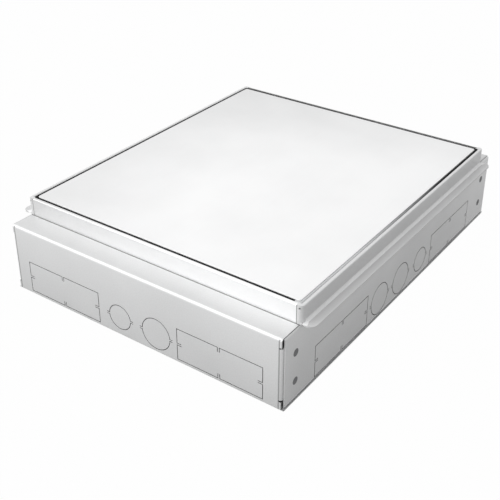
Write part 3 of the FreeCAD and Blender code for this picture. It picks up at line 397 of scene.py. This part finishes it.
def lay_painted_light(material, colour, leg, reach):
    """Mixes a pale colour, painted light, into a material's colour on the leg whose x is over this value.
    Along y it grows evenly, from none at this reach behind the middle to its most at the same reach in
    front of it."""
    tree = material.node_tree
    shader = tree.nodes["Principled BSDF"]
    clean = shader.inputs["Base Color"].links[0].from_socket
    place, split = tree.nodes.new("ShaderNodeTexCoord"), tree.nodes.new("ShaderNodeSeparateXYZ")
    mix = tree.nodes.new("ShaderNodeMix")
    mix.data_type = "RGBA"
    mix.inputs["B"].default_value = (*colour, 1)
    tree.links.new(place.outputs["Object"], split.inputs[0])
    on_leg = maths(tree, "GREATER_THAN", split.outputs["X"], leg)
    paleness = maths(tree, "MULTIPLY", on_leg, ramp(tree, split.outputs["Y"], reach, -reach))
    tree.links.new(paleness, mix.inputs["Factor"])
    tree.links.new(clean, mix.inputs["A"])
    tree.links.new(mix.outputs["Result"], shader.inputs["Base Color"])


def new_piece(name, points, faces):
    """An object at the origin with these points and faces."""
    mesh = bpy.data.meshes.new(name)
    mesh.from_pydata(points, [], faces)
    piece = bpy.data.objects.new(name, mesh)
    bpy.context.scene.collection.objects.link(piece)
    return piece


def closed_skin(name, grid):
    """A piece from a grid of points that closes on itself both ways: the rows are the strip's profile,
    and the columns run round the rim."""
    rows, columns = grid.shape[:2]
    number = np.arange(rows * columns).reshape(rows, columns)
    below, beside = np.roll(number, -1, axis=0), np.roll(number, -1, axis=1)
    quads = np.stack([number, beside, np.roll(beside, -1, axis=0), below], -1).reshape(-1, 4)
    return new_piece(name, grid.reshape(-1, 3).tolist(), quads.tolist())


lip_width = 0.0019
lip_below_rim = 0.00008
foot_width = 0.0054
seal_corner = 0.0015
bead_steps = 9
corner_steps = 7


def seal_skin(low, high, lip_top, foot_top):
    """Grid of the strip's points. Down the rows, the profile goes up the outside, over the lip in a half
    circle, inset = width / 2 x (1 - cos b) and level = top - width / 2 x (1 - sin b), down to the flat
    leg, out to its end and down again. Along the columns, a point lies on the rim's rounded rectangle,
    corner's middle + radius x (cos a, sin a), drawn in by its inset."""
    bead = np.linspace(0, math.pi, bead_steps)
    inset = np.concatenate([[0], lip_width / 2 * (1 - np.cos(bead)), [lip_width, foot_width, foot_width]])
    level = np.concatenate([[low[2]], lip_top - lip_width / 2 * (1 - np.sin(bead)),
                            [foot_top, foot_top, low[2]]])
    quarter = np.arange(4)[:, None] * math.pi / 2
    turn = (quarter + np.linspace(0, math.pi / 2, corner_steps)).ravel()
    halfway = quarter[:, 0] + math.pi / 4
    side = np.sign(np.stack([np.cos(halfway), np.sin(halfway)], -1)).repeat(corner_steps, axis=0)
    corner_middle = side * (high[:2] - seal_corner - inset[:, None, None])
    outline = corner_middle + seal_corner * np.stack([np.cos(turn), np.sin(turn)], -1)
    height = np.broadcast_to(level[:, None, None], (*outline.shape[:2], 1))
    return np.concatenate([outline, height], -1)


seal_low, seal_high = map(np.array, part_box("lid_seal"))
lid_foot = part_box("lid_plate")[0][2]
seal = closed_skin("lid_seal_strip", seal_skin(seal_low, seal_high, collar_top - lip_below_rim, lid_foot))
rubber = moulding("seal rubber", (0.006, 0.006, 0.0065), 0.7, 900, 0.1, specular=0.15)
# Painted light: the right leg is paler, the most towards the front.
lay_painted_light(rubber, (0.62, 0.625, 0.63), leg=seal_high[0] - foot_width, reach=0.065)
seal.data.materials.append(rubber)
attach(seal, "collar")
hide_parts("lid_seal")


# ---------------------------------------------------------------- lid
# A plain 3 mm plate that lies flush in the rim, with three top-hat channels welded under it. The plate
# is the brightest piece, with large pale clouds in its finish, and it is painted darker away from a
# pale middle, painted light.

# Painted light: the lid is paler round its middle and painted darker beyond it.
lid_steel = sheet_metal("lid sheet", (0.985, 0.987, 0.989), 0.6, 0.03, clouds=0.14, lines=0.02,
                        cloud_scale=14.0, painted_light_patch=0.18)
dress(lid_steel, "lid_plate", "lid_stiffener_front", "lid_stiffener_middle", "lid_stiffener_rear")


# ---------------------------------------------------------------- levelling screws
# Four zinc-plated hexagon screws stand on the pads. Their rolled thread climbs through the nuts on the
# brackets, so that turning a screw lifts its corner of the collar.

zinc = sheet_metal("zinc plate", (0.7, 0.71, 0.73), 0.3, 0.8, clouds=0.1, cloud_scale=120.0)
screw_head = 0.004
screw_radius = 0.00285
thread_pitch = 0.001
thread_depth = 0.0006
rows_per_turn = 6
columns_round = 48
point_share = 0.75
point_turns = 2
crown_share = 0.95
head_bevel = math.pi / 6


def closed_shell(name, across, along, up):
    """A piece from three grids, rows along the profile and columns round the axis. Each row joins the
    next and closes on itself; the first and last rows are poles and become one vertex each."""
    rows, columns = across.shape
    ring = np.stack([across, along, up], axis=-1)
    points = np.concatenate([ring[:1, 0], ring[1:-1].reshape(-1, 3), ring[-1:, 0]])
    column = np.arange(columns)
    beside = np.roll(column, -1)
    start = 1 + np.arange(rows - 3)[:, None] * columns
    walls = np.stack([start + column, start + beside, start + columns + beside,
                      start + columns + column], -1)
    last = 1 + (rows - 3) * columns
    foot = np.stack([0 * column, 1 + beside, 1 + column], -1)
    top = np.stack([0 * column + len(points) - 1, last + column, last + beside], -1)
    faces = foot.tolist() + walls.reshape(-1, 4).tolist() + top.tolist()
    return new_piece(name, points.tolist(), faces)


def threaded_screw(name, low, high):
    """Radius as a function of angle a and height z. On the shank it is the screw's radius less the
    thread's depth x |2 frac(z / pitch - a / turn) - 1|, narrowed over the first turns to a point. On
    the head it is the hexagon, half flats / cos(a from the middle of its flat), and its bevel falls
    from the round crown to the hexagon's corners."""
    middle = (low + high) / 2
    half_flats = min(high[:2] - low[:2]) / 2
    crown = half_flats * crown_share
    angle = np.arange(columns_round) * 2 * math.pi / columns_round
    level = 0 * angle[None]
    head_foot = high[2] - screw_head
    heights = np.arange(low[2], head_foot, thread_pitch / rows_per_turn)
    wave = np.abs(2 * ((heights[:, None] / thread_pitch - angle / (2 * math.pi)) % 1) - 1)
    climb = (heights - low[2])[:, None] / (point_turns * thread_pitch)
    shank = screw_radius - thread_depth * wave
    shank *= np.minimum(1, point_share + (1 - point_share) * climb)
    hexagon = half_flats / np.cos((angle + math.pi / 6) % (math.pi / 3) - math.pi / 6)
    bevel = high[2] - (hexagon - crown) * math.tan(head_bevel)
    radius = np.concatenate([level, shank, hexagon[None], hexagon[None], level + crown, level])
    up = np.concatenate([level + low[2], heights[:, None] + level, level + head_foot, bevel[None],
                         level + high[2], level + high[2]])
    return closed_shell(name, middle[0] + radius * np.cos(angle), middle[1] + radius * np.sin(angle), up)


for corner in corners:
    low, high = map(np.array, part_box(f"levelling_screw_{corner}"))
    screw = threaded_screw(f"threaded_screw_{corner}", low, high)
    screw.data.materials.append(zinc)
    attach(screw, f"screw_{corner}")
    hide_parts(f"levelling_screw_{corner}")
dress(zinc, "levelling_nuts", "foot_screws", "cover_screws")
dress(moulding("pad nylon", (0.06, 0.06, 0.062), 0.55, 700, 0.08), "levelling_pads")


# ---------------------------------------------------------------- carriers, covers and partition
# Folded galvanised plates inside the box: a carrier for each row of outlets, a cover over the wires
# behind each, and the partition that keeps power from data.

dress(galvanised, "power_carrier", "data_carrier", "power_wiring_cover", "data_wiring_cover",
      "centre_partition")


# ---------------------------------------------------------------- power sockets
# Three sockets snapped in the power carrier. White fronts with a round recess, grey terminal blocks,
# brass contact clips, a sprung earth strap and a white pin shutter.

white_plastic = moulding("white moulding", (0.83, 0.83, 0.82), 0.32, 500, 0.05)
grey_plastic = moulding("grey moulding", (0.42, 0.42, 0.43), 0.5, 500, 0.08)
brass = sheet_metal("brass strip", (0.78, 0.6, 0.32), 0.28, 1.0, cloud_scale=150.0)
spring_strip = sheet_metal("spring strip", (0.62, 0.62, 0.63), 0.3, 0.9, cloud_scale=150.0)
for row in (1, 2, 3):
    dress(white_plastic, f"power_socket_{row}_face", f"power_socket_{row}_shutter")
    dress(grey_plastic, f"power_socket_{row}_block")
    dress(brass, f"power_socket_{row}_contacts")
    dress(spring_strip, f"power_socket_{row}_earth_strap")


# ---------------------------------------------------------------- data outlets
# Three plates of the same white plastic, snapped in the data carrier. Each holds two modular jacks
# moulded in black.

black_plastic = moulding("black moulding", (0.05, 0.05, 0.052), 0.45, 500, 0.08)
for row in (1, 2, 3):
    dress(white_plastic, f"data_outlet_{row}_plate")
    dress(black_plastic, f"data_outlet_{row}_jacks")


# ---------------------------------------------------------------- earth terminal
# A stud welded on the base, with a washer under its hexagon nut. All three are steel with the same
# zinc plate as the screws.

dress(zinc, "earth_stud", "earth_washer", "earth_nut")


# ---------------------------------------------------------------- studio
# A pale floor that melts into white, one large soft lamp above the front and the left, and the camera
# above the front right corner.

def white_where_seen(tree, lit, white, output, share=1.0):
    """Swaps what is lit for plain white, by this share, where the camera sees it, or a reflection or a
    transmitted ray."""
    path, mix = tree.nodes.new("ShaderNodeLightPath"), tree.nodes.new("ShaderNodeMixShader")
    seen = maths(tree, "MAXIMUM", path.outputs["Is Camera Ray"], path.outputs["Is Glossy Ray"])
    seen = maths(tree, "MAXIMUM", seen, path.outputs["Is Transmission Ray"])
    tree.links.new(maths(tree, "MULTIPLY", seen, share), mix.inputs["Fac"])
    tree.links.new(lit.outputs[0], mix.inputs[1])
    tree.links.new(white.outputs[0], mix.inputs[2])
    tree.links.new(mix.outputs[0], tree.nodes[output].inputs["Surface"])


world = bpy.data.worlds.new("white studio")
bpy.context.scene.world = world
world.use_nodes = True
ambient = world.node_tree.nodes["Background"]
ambient.inputs["Color"].default_value = (1, 1, 1, 1)
ambient.inputs["Strength"].default_value = 0.42
plain_white = world.node_tree.nodes.new("ShaderNodeBackground")
plain_white.inputs["Color"].default_value = (1, 1, 1, 1)
white_where_seen(world.node_tree, ambient, plain_white, "World Output")

floor_half, floor_level = 3.0, -0.0002
floor_corners = [(-floor_half, -floor_half, floor_level), (floor_half, -floor_half, floor_level),
                 (floor_half, floor_half, floor_level), (-floor_half, floor_half, floor_level)]
floor = new_piece("studio_floor", floor_corners, [(0, 1, 2, 3)])
floor_material = bpy.data.materials.new("pale floor")
floor_material.use_nodes = True
paint = floor_material.node_tree.nodes["Principled BSDF"]
paint.inputs["Base Color"].default_value = (0.4, 0.4, 0.4, 1)
paint.inputs["Roughness"].default_value = 0.9
glow = floor_material.node_tree.nodes.new("ShaderNodeEmission")
white_where_seen(floor_material.node_tree, paint, glow, "Material Output", share=0.985)
floor.data.materials.append(floor_material)


def softbox(name, azimuth, elevation, distance, side, power):
    """A square area lamp that faces the middle of the box from this azimuth and elevation."""
    lamp = bpy.data.lights.new(name, "AREA")
    lamp.size = side
    lamp.energy = power
    light = bpy.data.objects.new(name, lamp)
    bpy.context.scene.collection.objects.link(light)
    turn, rise = math.radians(azimuth), math.radians(elevation)
    level = distance * math.cos(rise)
    light.location = (level * math.sin(turn), -level * math.cos(turn), distance * math.sin(rise))
    light.rotation_euler = (math.pi / 2 - rise, 0, turn)


softbox("key", azimuth=-30, elevation=50, distance=2.4, side=2.6, power=51)

camera_azimuth = math.radians(35.5)
camera_elevation = math.radians(27.95)
camera = bpy.data.objects.new("camera", bpy.data.cameras.new("camera"))
camera.location = (0.3861, -0.5669, 0.4211)
camera.rotation_euler = (math.pi / 2 - camera_elevation, 0, camera_azimuth)
camera.data.lens = 65.3
camera.data.sensor_width = 36
camera.data.shift_y = -0.12
camera.data.clip_start = 0.01
bpy.context.scene.collection.objects.link(camera)
bpy.context.scene.camera = camera
bpy.context.scene.view_settings.view_transform = "Standard"
